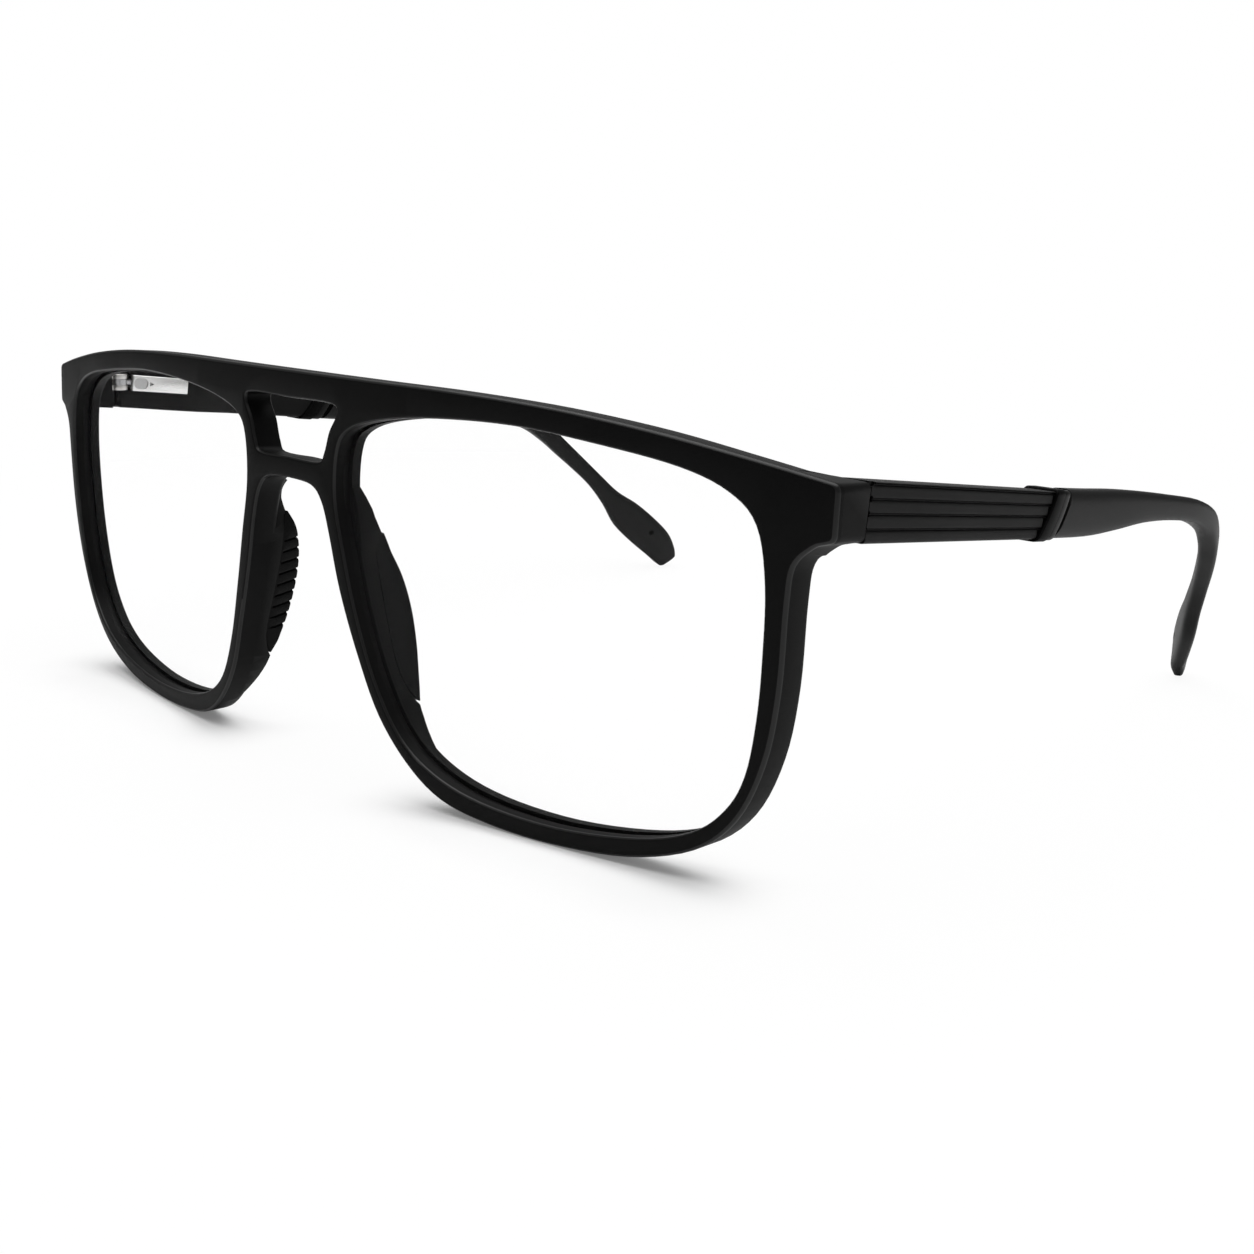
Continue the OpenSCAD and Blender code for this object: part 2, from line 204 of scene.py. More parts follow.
SOFTBOXES = (  # name, place, aimed at, width, height, power
    ("overhead_softbox", (-0.03, 0.05, 0.9), (0, 0, 0), 1.2, 1.2, 12.2),
    ("rear_left_softbox", (-1.3, 1.4, 0.5), (0, 0, 0.03), 1.6, 0.6, 1.6),
    ("rear_right_softbox", (0.9, 0.5, 0.35), (0, 0, 0.02), 0.5, 0.5, 0.3),
)
for name, place, aim, width, height, power in SOFTBOXES:
    lamp = bpy.data.lights.new(name, "AREA")
    lamp.shape, lamp.size, lamp.size_y, lamp.energy = "RECTANGLE", width, height, power
    light = bpy.data.objects.new(name, lamp)
    bpy.context.scene.collection.objects.link(light)
    light.visible_camera = False
    light.location = place
    light.rotation_euler = (Vector(place) - Vector(aim)).to_track_quat("Z", "Y").to_euler()

# ---------------------------------------------------------------- front
# The front is one injection moulding in matt black nylon: a spherical face, rims with
# a groove for each lens, two bridges, and an endpiece turned back at each side. Its
# outlines are drawn flat, cut out, rounded and then bowed onto the sphere.
MM = 0.001
BACK_TO_BRIDGE = 65.03
FACE_RADIUS, FACE_FRONT, FACE_HEIGHT = 249, -1.6, 34
RIM_DEPTH = 4.1
DRAFT = 0.07           # fall of the moulding from front to back, per mm of depth
JOINT_Y, JOINT_LEAN, JOINT_MIDDLE = 15, 0.12, 41.3
END_RISE, END_SLANT = 0.65, 0.7


def blend(a, b, c, d, t):
    return tuple(0.5 * (2 * q + (r - p) * t + (2 * p - 5 * q + 4 * r - s) * t * t
                        + (3 * q - p - 3 * r + s) * t ** 3)
                 for p, q, r, s in zip(a, b, c, d))


def closed_curve(points, steps=5):
    n = len(points)
    return [blend(points[i - 1], points[i], points[(i + 1) % n], points[(i + 2) % n], k / steps)
            for i in range(n) for k in range(steps)]


def open_curve(points, steps=5):
    last = len(points) - 1
    made = [blend(points[max(i - 1, 0)], points[i], points[i + 1], points[min(i + 2, last)],
                  k / steps)
            for i in range(last) for k in range(steps)]
    return made + [points[last]]


def both_sides(half):
    return half + [(-x, z) for x, z in reversed(half[1:-1])]


def grown(points, by):
    """A clockwise outline pushed outwards."""
    made, n = [], len(points)
    for i, (x, z) in enumerate(points):
        (x0, z0), (x1, z1) = points[i - 1], points[(i + 1) % n]
        long = math.hypot(x1 - x0, z1 - z0)
        made.append((x - by * (z1 - z0) / long, z + by * (x1 - x0) / long))
    return made


opening = closed_curve([
    (9.2, 41.2), (11.2, 43.7), (16.5, 45.3), (25, 46.3), (36, 46.55), (47, 45.6), (56, 44.3),
    (61.5, 42.4), (64.6, 39.4), (65.8, 33.5), (65.8, 26), (65.3, 19.5), (64.1, 13.4), (61.9, 9.2),
    (58, 5.8), (51.5, 3.6), (41, 2.35), (30.5, 2.8), (23.2, 4.7), (18.2, 8.2), (14.6, 14.4),
    (12, 22), (10.2, 29), (8.8, 35.5)])
brow = open_curve([(0, 49.7), (14, 49.65), (28, 49.5), (41, 48.9), (53, 47.65), (64, 45.9),
                   (71.6, 44.42)])
end_corner = [(71.93, 44.34), (72.22, 44.22), (72.44, 43.98), (72.57, 43.68), (72.6, 43.35),
              (72.6, 39.3), (72.57, 39.0), (72.44, 38.7), (72.22, 38.5), (71.93, 38.38)]
lower = open_curve([
    (71.5, 38.25), (70.4, 37.75), (68.7, 35.8), (68.25, 32), (67.8, 23), (66.3, 15), (63.1, 8.1),
    (58, 3.6), (50, 0.95), (40, 0.04), (31, 0.3), (24, 1.6), (19, 4.9), (14.8, 10.1), (11.9, 16.8),
    (9.2, 24.5), (7.5, 31.2), (6.2, 34.8), (4.2, 36.5), (0, 36.85)])
front_edge = both_sides(brow + end_corner + lower)
bridge_gap = both_sides(open_curve([(0, 46.4), (7.6, 46.4), (9, 45.5), (7.7, 43.2), (6.8, 40.6),
                                    (5.6, 39.4), (0, 39.4)]))


def new_piece(name):
    bpy.context.object.name = name
    bpy.context.object.data.name = name
    return bpy.context.object


def edit(piece, mode="EDGE"):
    bpy.ops.object.select_all(action="DESELECT")
    piece.select_set(True)
    bpy.context.view_layer.objects.active = piece
    bpy.ops.object.mode_set(mode="EDIT")
    bpy.ops.mesh.select_mode(type=mode)
    return bmesh.from_edit_mesh(piece.data)


def leave():
    bpy.ops.object.mode_set(mode="OBJECT")


def pick(mesh, group, test):
    """Selects the vertices, edges or faces that pass a test on their middle."""
    bpy.ops.mesh.select_all(action="DESELECT")
    for item in getattr(mesh, group):
        points = [item.co] if group == "verts" else [v.co for v in item.verts]
        if test(item, sum(points, Vector()) / len(points)):
            item.select_set(True)
    mesh.select_flush_mode()


def prism(name, outline, y0, y1):
    """An outline in the front view as a solid from y0 to y1, in millimetres."""
    bpy.ops.mesh.primitive_circle_add(vertices=len(outline), radius=1, fill_type="NGON")
    piece = new_piece(name)
    for vertex, (x, z) in zip(piece.data.vertices, outline):
        vertex.co = (x, y0, z)
    edit(piece, "FACE")
    bpy.ops.mesh.select_all(action="SELECT")
    bpy.ops.mesh.extrude_region_move(TRANSFORM_OT_translate={"value": (0, y1 - y0, 0)})
    bpy.ops.mesh.select_all(action="SELECT")
    bpy.ops.mesh.normals_make_consistent(inside=False)
    leave()
    return piece


def swept(name, rings):
    """A solid through rings of points, each with as many points as the first."""
    bpy.ops.mesh.primitive_circle_add(vertices=len(rings[0]), radius=1, fill_type="NGON")
    piece = new_piece(name)
    for vertex, point in zip(piece.data.vertices, rings[0]):
        vertex.co = point
    edit(piece, "FACE")
    bpy.ops.mesh.select_all(action="SELECT")
    last = [Vector(point) for point in rings[0]]
    for ring in rings[1:]:
        bpy.ops.mesh.extrude_region_move()
        mesh = bmesh.from_edit_mesh(piece.data)
        for v in [v for v in mesh.verts if v.select]:
            v.co = ring[min(range(len(last)), key=lambda i: (last[i] - v.co).length_squared)]
        last = [Vector(point) for point in ring]
        bmesh.update_edit_mesh(piece.data)
    bpy.ops.mesh.select_all(action="SELECT")
    bpy.ops.mesh.normals_make_consistent(inside=False)
    leave()
    return piece


def stepped_prism(name, outline, rings):
    """An outline drawn through (growth, y) rings, for a cutter with a shaped wall."""
    return swept(name, [[(x, y, z) for x, z in grown(outline, growth)] for growth, y in rings])


def round_edges(piece, width, segments=3, angle=35):
    """Rounds every edge sharper than an angle."""
    bpy.ops.object.select_all(action="DESELECT")
    bpy.context.view_layer.objects.active = piece
    bevel = piece.modifiers.new("rounding", "BEVEL")
    bevel.width, bevel.segments, bevel.limit_method = width, segments, "ANGLE"
    bevel.angle_limit = math.radians(angle)
    bpy.ops.object.modifier_apply(modifier=bevel.name)


def combine(piece, others, how="DIFFERENCE"):
    """Cuts other solids from a piece, or unites them with it, and deletes them."""
    bpy.ops.object.select_all(action="DESELECT")
    bpy.context.view_layer.objects.active = piece
    for other in others:
        cut = piece.modifiers.new("cut", "BOOLEAN")
        cut.operation, cut.solver, cut.object = how, "EXACT", other
        bpy.ops.object.modifier_apply(modifier=cut.name)
        bpy.data.objects.remove(other)


def smooth(piece, angle=35):
    bpy.ops.object.select_all(action="DESELECT")
    piece.select_set(True)
    bpy.context.view_layer.objects.active = piece
    bpy.ops.object.shade_smooth_by_angle(angle=math.radians(angle))
    piece.select_set(False)


def to_metres(piece):
    """From millimetres about the bridge to metres in the frame."""
    piece.data.transform(Matrix.Translation((0, -BACK_TO_BRIDGE * MM, 0)) @ Matrix.Scale(MM, 4))


def finish_piece(piece, material, body, node):
    to_metres(piece)
    piece.data.materials.clear()
    piece.data.materials.append(material.material)
    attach(piece, body)
    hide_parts(node)


def step(low, high, value):
    t = min(max((value - low) / (high - low), 0), 1)
    return t * t * (3 - 2 * t)


def on_face(x, z, depth):
    """The y of a point of the face, at a depth behind its outer surface."""
    return FACE_FRONT + FACE_RADIUS - math.sqrt(
        (FACE_RADIUS - depth) ** 2 - x * x - (z - FACE_HEIGHT) ** 2)


plate = prism("front_frame_moulding", front_edge, 0, RIM_DEPTH)
FRONT_ROUND, BACK_ROUND = 0.45, 0.9
for depth, width, reach in ((0, FRONT_ROUND, 80), (RIM_DEPTH, BACK_ROUND, 69.5)):
    mesh = edit(plate)
    pick(mesh, "edges", lambda e, c: abs(c.y - depth) < 1e-4 and abs(c.x) < reach
         and abs(e.verts[0].co.y - e.verts[1].co.y) < 1e-4)
    bpy.ops.mesh.bevel(offset=width, segments=5, affect="EDGES", clamp_overlap=False)
    leave()

LIP_ROUND, BACK_LIP_ROUND = 0.38, 0.3
LENS_GROOVE = (1.45, 2.75, 0.6)


def lip_rings(lip, back_lip, groove=None):
    turn = [math.radians(a) for a in (30, 60, 90)]
    rings = [(lip + 0.02, -1.0), (lip + 0.01, -0.001)]
    rings += [(lip * (1 - math.sin(a)), lip * (1 - math.cos(a))) for a in turn]
    if groove:
        start, end, deep = groove
        rings += [(0, start), (deep, start + 0.05), (deep, end - 0.05), (0, end)]
    rings += [(back_lip * (1 - math.cos(a)), RIM_DEPTH - back_lip * (1 - math.sin(a)))
              for a in turn]
    rings += [(back_lip + 0.02, RIM_DEPTH + 1)]
    return rings


def flipped(points):
    return [(-x, z) for x, z in reversed(points)]


cutters = []
for eye, outline in (("left", opening), ("right", flipped(opening))):
    cutters.append(stepped_prism(f"lens_hole_{eye}", outline,
                                 lip_rings(LIP_ROUND, BACK_LIP_ROUND, LENS_GROOVE)))
cutters.append(stepped_prism("gap_hole", bridge_gap, lip_rings(LIP_ROUND, 0.6)))
combine(plate, cutters)

# Endpieces, drawn from the same outline and carried back to the joint
end_half = [p for p in front_edge if p[0] > 66.9 and p[1] > 38.3]
for side in (1, -1):
    outline = grown([(66.6, 38.38), (66.6, end_half[0][1])] + end_half, 0.008)
    if side < 0:
        outline = flipped(outline)
    end = prism("endpiece", outline, 0.9, 6)
    mesh = edit(end)
    pick(mesh, "edges", lambda e, c: c.y > 5.999 and abs(e.verts[0].co.y - e.verts[1].co.y) < 1e-4)
    bpy.ops.mesh.bevel(offset=0.22, segments=3, affect="EDGES")
    leave()
    combine(plate, [end], "UNION")

# Cuts that let the flat plate bend, then the bowing itself
mesh = edit(plate)
for axis, low, high, pitch in ((0, -70, 70, 5), (2, 4, 46, 6)):
    for k in range(int((high - low) / pitch) + 1):
        at = [0, 0, 0]
        normal = [0, 0, 0]
        at[axis], normal[axis] = low + k * pitch + 0.37, 1
        bpy.ops.mesh.select_all(action="SELECT")
        bpy.ops.mesh.bisect(plane_co=at, plane_no=normal)
leave()
for vertex in plate.data.vertices:
    x, depth, z = vertex.co
    beside = step(50, 68, abs(x)) * step(37, 43, z)
    fall = DRAFT * step(0, 14, z) + 0.11 * beside
    rise = END_RISE * beside * step(39, 44, z)
    if depth > 4.5:
        share = (depth - 4.5) / 1.5
        y = on_face(x, z, RIM_DEPTH) + 0.4 + share * (JOINT_Y - on_face(x, z, RIM_DEPTH) - 0.4)
        narrow = 0.25 * share * step(70, 72, abs(x))
        slant = END_SLANT * min(1, 2 * share) * (72.3 - abs(x)) / 5.7 * step(41, 44, z)
        low = z - fall * (y - on_face(x, z, 0)) + rise * (0.3 + 0.7 * share) - slant
        vertex.co = (x - math.copysign(narrow, x),
                     y + share * JOINT_LEAN * (low - JOINT_MIDDLE), low)
    else:
        vertex.co = (x, on_face(x, z, depth), z - fall * depth + rise * 0.3 * depth / RIM_DEPTH)

# Wings behind the nose sides of the rims, which carry the pads
SEAM_Y = 3.6
WING_DEPTH = 2.85      # the wings start behind the lens groove
WING_FLARE = 1.1       # how far the tops of the wings lean out towards the back
nose_wall = [p for p in lower if p[0] < 21 and 3 < p[1] < 36]
lens_wall = [p for p in opening if p[0] < 22.5 and 5 < p[1] < 37.6]
pad_seam = open_curve([(4.35, 31.1), (3.85, 30.4), (3.62, 29), (SEAM_Y, 26), (SEAM_Y, 18),
                       (3.66, 16), (3.9, 14.3), (4.4, 12.8), (5.0, 11.7), (5.42, 11.15)], 4)
wing_side = ([(0, 38), (2.4, 37), (2.9, 35.6), (3.4, 33.2), (4.1, 31.6)] + pad_seam
             + [(5.3, 9.6), (5.0, 7.8), (4.6, 6), (4.2, 4), (0, 2)])


def turn_outwards(piece):
    """Points the faces of a turned or mirrored piece outwards again."""
    edit(piece, "FACE")
    bpy.ops.mesh.select_all(action="SELECT")
    bpy.ops.mesh.normals_make_consistent(inside=False)
    leave()


def side_prism(name, outline, x0, x1):
    """An outline in the side view, (y, z), as a solid from x0 to x1."""
    piece = prism(name, outline, x0, x1)
    piece.data.transform(Matrix(((0, 1, 0, 0), (1, 0, 0, 0), (0, 0, 1, 0), (0, 0, 0, 1))))
    turn_outwards(piece)
    return piece


def mirrored(piece, name):
    """A copy for the wearer's right, with its own mesh."""
    other = piece.copy()
    other.data = piece.data.copy()
    other.name = other.data.name = name
    bpy.context.scene.collection.objects.link(other)
    other.data.transform(Matrix.Scale(-1, 4, (1, 0, 0)))
    turn_outwards(other)
    return other


wing_front = lens_wall + list(reversed(nose_wall))
wing = swept("nose_wing", [[(x, on_face(x, z, 0) + WING_DEPTH, z) for x, z in wing_front],
                           [(x, 7, z) for x, z in wing_front]])
combine(wing, [side_prism("wing_outline", wing_side, -1, 30)], "INTERSECT")


def lean_out(piece):
    """Leans the top of a wing or a pad outwards, the more the further back."""
    for vertex in piece.data.vertices:
        x, y, z = vertex.co
        upper = step(28, 33.5, z) * (1 - step(34, 37.3, z))
        vertex.co.x += WING_FLARE * upper * (y - on_face(x, z, 0)) / 4


lean_out(wing)
for vertex in wing.data.vertices:
    x, y, z = vertex.co
    vertex.co.z -= DRAFT * step(0, 14, z) * (y - on_face(x, z, 0))
round_edges(wing, 0.14, 2, 40)
combine(plate, [mirrored(wing, "nose_wing_right"), wing], "UNION")

# Round recess and slot in each endpiece for the hinge
PIN = (67.45, 16, 41.6)
STACK_HEIGHT = 2.4
RECESS_HALF = 1.33


def block(name, x, y, z):
    bpy.ops.mesh.primitive_cube_add(size=1)
    piece = new_piece(name)
    for vertex in piece.data.vertices:
        vertex.co = [span[0] + (c + 0.5) * (span[1] - span[0])
                     for c, span in zip(vertex.co, (x, y, z))]
    return piece


def rod(name, radius, z0, z1, sides=48, at=(PIN[0], PIN[1])):
    """An upright round bar, by default about the hinge axis."""
    bpy.ops.mesh.primitive_cylinder_add(vertices=sides, radius=radius, depth=z1 - z0)
    piece = new_piece(name)
    piece.data.transform(Matrix.Translation((at[0], at[1], (z0 + z1) / 2)))
    return piece


for side in (1, -1):
    recess = rod("hinge_recess", 1.75, PIN[2] - RECESS_HALF, PIN[2] + RECESS_HALF)
    slot = block("leaf_slot", (PIN[0] - 0.8, PIN[0] + 0.7), (14.3, 15.3),
                 (PIN[2] - 1.32, PIN[2] + 1.32))
    if side < 0:
        first, second = recess, slot
        recess, slot = mirrored(first, "hinge_recess_right"), mirrored(second, "leaf_slot_right")
        bpy.data.objects.remove(first)
        bpy.data.objects.remove(second)
    combine(plate, [recess, slot])
smooth(plate, 32)

black_moulding = Shader("matt_black_moulding", Roughness=0.5, Specular_IOR_Level=0.08)
grain = black_moulding.noise(9000, 2)
cloud = black_moulding.noise(60, 3)
black_moulding.set("Base Color", black_moulding.mix(cloud, grey(0.0018), grey(0.003)))
black_moulding.set("Roughness", 0.46 + 0.12 * cloud)
black_moulding.bump(grain, 0.00001, 0.35)
finish_piece(plate, black_moulding, "front", "front_frame")

EDGE_HIGHLIGHT_DEPTH = 0.42    # how far back from the face the edges get the painted highlight
# The rounded front edges get a lighter, glossier black than the rest of the front: a painted
# highlight for the bright lines along the rims and the brow.
edge_highlight_paint = Shader("front_edges_painted_highlight", Roughness=0.35, Specular_IOR_Level=0.28)
cloud = edge_highlight_paint.noise(60, 3)
edge_highlight_paint.set("Base Color", edge_highlight_paint.mix(cloud, grey(0.004), grey(0.007)))
edge_highlight_paint.set("Roughness", 0.3 + 0.12 * cloud)
plate.data.materials.append(edge_highlight_paint.material)
for face in plate.data.polygons:
    x, y, z = face.center / MM + Vector((0, BACK_TO_BRIDGE, 0))
    if y - on_face(x, z, 0) < EDGE_HIGHLIGHT_DEPTH and face.normal.y > -0.9:
        face.material_index = 1

# ---------------------------------------------------------------- lenses
# Two thin clear plano lenses of cast resin, snapped into the rim grooves from behind.
# They carry no tint, so almost nothing of them shows but the table through them.
clear_resin = Shader("clear_lens_resin", Roughness=0.03, IOR=1.5)
clear_resin.set("Base Color", clear_resin.mix(clear_resin.noise(25), grey(0.93), grey(0.96)))
clear_resin.set("Alpha", 0.004 + 0.003 * clear_resin.noise(40))


def dress(node, material):
    """A CAD node that shows as it is, in its own material."""
    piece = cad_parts[node]
    piece.data.materials.clear()
    piece.data.materials.append(material.material)


for eye in ("left", "right"):
    dress(f"lens_{eye}", clear_resin)

# ---------------------------------------------------------------- nose pads
# A soft black elastomer pad is moulded on each wing: smooth towards the lens, with
# nine cross grooves towards the nose that let air and sweat out. A peg holds it.
PAD_GROOVES, PAD_PITCH = 9, 1.6
PAD_MIDDLE = (10.25, SEAM_Y, 21)
PAD_LEAN, PAD_FLARE = 17.6, 13
SLIVER = 0.01          # points of the pad closer than this are one
pad_back = open_curve([(4.5, 31), (5.7, 28.8), (7, 25.4), (7.5, 21.6), (7.2, 17.3), (6.3, 13.6),
                       (5.5, 11.3)], 7)
pad_side = pad_back + [(y + 0.05, z) for y, z in reversed(pad_seam[1:-1])]
pad_frame = (Matrix.Translation(PAD_MIDDLE) @ Matrix.Rotation(math.radians(-PAD_LEAN), 4, "Y")
             @ Matrix.Rotation(math.radians(-PAD_FLARE), 4, "Z"))


def trim(piece, at, way):
    """Cuts a piece off flat at a plane and drops what lies the way given."""
    edit(piece, "FACE")
    bpy.ops.mesh.select_all(action="SELECT")
    bpy.ops.mesh.bisect(plane_co=at, plane_no=way, use_fill=True, clear_outer=True)
    leave()


pad = prism("nose_pad_left_elastomer", wing_front, SEAM_Y - 0.5, 9)
combine(pad, [side_prism("pad_outline", pad_side, -1, 30)], "INTERSECT")
trim(pad, PAD_MIDDLE, pad_frame.to_3x3() @ Vector((-1, 0, 0)))
mesh = edit(pad)
pick(mesh, "edges", lambda e, c: 13 < c.z < 30 and c.y > 5 and len(e.link_faces) == 2
     and e.calc_face_angle() > math.radians(40))
bpy.ops.mesh.bevel(offset=0.4, segments=4, affect="EDGES", clamp_overlap=True)
leave()
round_edges(pad, 0.06, 2, 40)
lean_out(pad)
# Without slivers and bent faces the grooves cut alike on every run
edit(pad, "VERT")
bpy.ops.mesh.select_all(action="SELECT")
bpy.ops.mesh.remove_doubles(threshold=SLIVER)
bpy.ops.mesh.quads_convert_to_tris()
leave()
grooves = []
for k in range(PAD_GROOVES):
    middle = (k - (PAD_GROOVES - 1) / 2) * PAD_PITCH
    groove = prism("pad_groove", [(x, middle + z) for x, z in (
        (-1.5, -0.5), (-1.5, 0.5), (-0.05, 0.5), (0.1, 0.17), (0.34, 0.12), (0.34, -0.12),
        (0.1, -0.17), (-0.05, -0.5))], 0.35, 12)
    groove.data.transform(pad_frame)
    grooves.append(groove)
combine(pad, grooves)
smooth(pad, 30)

pad_elastomer = Shader("black_pad_elastomer", Roughness=0.7, Specular_IOR_Level=0.06)
bloom = pad_elastomer.noise(240, 4)
pad_elastomer.set("Base Color", pad_elastomer.mix(bloom, grey(0.0028), grey(0.0042)))
pad_elastomer.set("Roughness", 0.62 + 0.16 * bloom)
pad_elastomer.bump(pad_elastomer.noise(5200, 2), 0.00001, 0.5)


def finish_pair(piece, stem, kind, material, body):
    """Puts a left piece and its mirror image on their bodies."""
    right = mirrored(piece, f"{stem}_right_{kind}")
    smooth(right, 30)
    finish_piece(piece, material, body.replace("SIDE", "left"), f"{stem}_left")
    finish_piece(right, material, body.replace("SIDE", "right"), f"{stem}_right")


finish_pair(pad, "nose_pad", "elastomer", pad_elastomer, "front")

# ---------------------------------------------------------------- hinge leaves
# Each leaf is a nickel silver block pressed hot into the endpiece, with two round
# knuckles standing in the recess. Its edges are tumbled smooth.
KNUCKLE_RADIUS, KNUCKLE_HEIGHT = 1.35, 0.72
SCREW_RADIUS, HEAD_RADIUS, HEAD_HEIGHT = 0.6, 0.95, 0.35
leaf = block("hinge_leaf_left_pressing", (PIN[0] - 0.6, PIN[0] + 0.5), (10.6, 14.4),
             (PIN[2] - STACK_HEIGHT / 2, PIN[2] + STACK_HEIGHT / 2))
for way in (-1, 1):
    middle = PIN[2] + way * (STACK_HEIGHT - KNUCKLE_HEIGHT) / 2
    knuckle = rod("knuckle", KNUCKLE_RADIUS, middle - KNUCKLE_HEIGHT / 2,
                  middle + KNUCKLE_HEIGHT / 2)
    round_edges(knuckle, 0.09, 3, 50)
    neck = block("neck", (PIN[0] - 0.58, PIN[0] + 0.48), (14.2, PIN[1]),
                 (middle - KNUCKLE_HEIGHT / 2 + 0.02, middle + KNUCKLE_HEIGHT / 2 - 0.02))
    combine(leaf, [knuckle, neck], "UNION")
bore = rod("screw_bore", SCREW_RADIUS + 0.03, PIN[2] - 3, PIN[2] + 3, 32)
seat = rod("head_seat", HEAD_RADIUS + 0.03, PIN[2] + STACK_HEIGHT / 2 - HEAD_HEIGHT - 0.03,
           PIN[2] + 3, 32)
combine(leaf, [bore, seat])
smooth(leaf)

nickel_silver = Shader("tumbled_nickel_silver", Metallic=1.0)
tumble = nickel_silver.noise(900, 3)
nickel_silver.set("Base Color", nickel_silver.mix(
    tumble, (0.62, 0.61, 0.59, 1), (0.74, 0.73, 0.71, 1)))
nickel_silver.set("Roughness", 0.3 + 0.14 * tumble)
nickel_silver.bump(nickel_silver.noise(2600, 3), 0.000006, 0.4)
finish_pair(leaf, "hinge_leaf", "pressing", nickel_silver, "front")

# ---------------------------------------------------------------- hinge screws and bushes
# A slotted stainless screw is the pin of each hinge. It turns in the knuckles and
# holds a nylon bush, on which the slider's eye swings.
screw = rod("hinge_screw_left_turned", SCREW_RADIUS, PIN[2] - STACK_HEIGHT / 2,
            PIN[2] + STACK_HEIGHT / 2 - HEAD_HEIGHT / 2, 32)
head = rod("screw_head", HEAD_RADIUS, PIN[2] + STACK_HEIGHT / 2 - HEAD_HEIGHT,
           PIN[2] + STACK_HEIGHT / 2, 48)
round_edges(head, 0.07, 3, 50)
combine(screw, [head], "UNION")
combine(screw, [block("screw_slot", (PIN[0] - 2, PIN[0] + 2), (PIN[1] - 0.11, PIN[1] + 0.11),
                      (PIN[2] + STACK_HEIGHT / 2 - 0.18, PIN[2] + 3))])
smooth(screw)

turned_steel = Shader("turned_stainless_steel", Metallic=1.0)
lathe = turned_steel.node("ShaderNodeTexWave", {"wave_type": "BANDS", "bands_direction": "Z"}, {
    "Vector": turned_steel.place(), "Scale": 2600.0, "Distortion": 1.5, "Detail": 2.0}, 1)
turned_steel.set("Base Color", turned_steel.mix(
    lathe, (0.42, 0.42, 0.43, 1), (0.56, 0.56, 0.57, 1)))
turned_steel.set("Roughness", 0.24 + 0.12 * lathe)
turned_steel.bump(lathe, 0.000004, 0.5)
finish_pair(screw, "hinge_screw", "turned", turned_steel, "hinge_pin_SIDE")

white_nylon = Shader("natural_nylon", Roughness=0.5)
white_nylon.set("Base Color", white_nylon.mix(
    white_nylon.noise(1500), (0.66, 0.63, 0.56, 1), (0.75, 0.73, 0.67, 1)))
for side in ("left", "right"):
    dress(f"hinge_bush_{side}", white_nylon)

# ---------------------------------------------------------------- spring sliders
# Inside each temple a slider with an eye and a pull rod is drawn back by a coil
# spring held under a brass nut. The spring snaps the temple open and lets it flex.
brass = Shader("turned_brass", Metallic=1.0)
brass.set("Base Color", brass.mix(brass.noise(1200), (0.55, 0.38, 0.16, 1), (0.68, 0.5, 0.24, 1)))
brass.set("Roughness", 0.28 + 0.1 * brass.noise(2000))
spring_wire = Shader("spring_wire", Metallic=1.0)
spring_wire.set("Base Color", spring_wire.mix(spring_wire.noise(1800), grey(0.34), grey(0.5)))
spring_wire.set("Roughness", 0.3 + 0.1 * spring_wire.noise(2400))
for side in ("left", "right"):
    dress(f"hinge_slider_{side}", turned_steel)
    dress(f"spring_nut_{side}", brass)
    dress(f"hinge_spring_{side}", spring_wire)
    dress(f"housing_plug_{side}", turned_steel)

# ---------------------------------------------------------------- spring housings
# A bored nickel silver block is let into the inner face of each temple, with a
# shallow oval and a small arrow mark pressed into its polished face.
ARM_SPLAY, ARM_DROP = 1.4, -6.2
ARM_FRAME = (Matrix.Translation(PIN) @ Matrix.Rotation(math.radians(ARM_SPLAY), 4, "Z")
             @ Matrix.Rotation(math.radians(ARM_DROP), 4, "X"))
HOUSING_X, HOUSING_ALONG, HOUSING_HALF = (-1.32, 1.1), (1.75, 12.8), 1.2
BORE_RADIUS, ROD_RADIUS = 0.92, 0.42
PLATE_END = 11.3       # where the face of the housing ends in sight


def arc(middle, radius, start, stop, steps=6):
    turns = [math.radians(start + (stop - start) * k / steps) for k in range(steps + 1)]
    return [(middle[0] + radius * math.cos(a), middle[1] + radius * math.sin(a)) for a in turns]


def along_rod(name, radius, start, stop, sides=32):
    """A round bar along the temple, about the spring's axis."""
    piece = rod(name, radius, start, stop, sides, (0, 0))
    piece.data.transform(Matrix.Rotation(math.radians(-90), 4, "X"))
    return piece


start, stop = HOUSING_ALONG
housing_side = ([(start, -HOUSING_HALF)] + arc((stop - 1.5, -HOUSING_HALF + 1.5), 1.5, -90, 0)
                + arc((stop - 0.5, HOUSING_HALF - 0.5), 0.5, 0, 90, 4) + [(start, HOUSING_HALF)])
housing = side_prism("spring_housing_left_block", housing_side, *HOUSING_X)
round_edges(housing, 0.14, 3, 40)
oval = side_prism("oval", arc((2.75, 0), 0.82, 90, 270, 10) + arc((3.55, 0), 0.82, -90, 90, 10),
                  HOUSING_X[0] - 1, HOUSING_X[0] + 0.16)
arrow = side_prism("arrow", [(4.65, 0.34), (5.35, 0), (4.65, -0.34)],
                   HOUSING_X[0] - 1, HOUSING_X[0] + 0.3)
plate_cut = block("plate_cut", (-3, -1.08), (PLATE_END - 0.02, 20), (-3, 3))
combine(housing, [oval, arrow, plate_cut, along_rod("rod_hole", ROD_RADIUS + 0.03, 0, 5),
                  along_rod("spring_bore", BORE_RADIUS, 3.4, 20)])
housing.data.transform(ARM_FRAME)
smooth(housing)

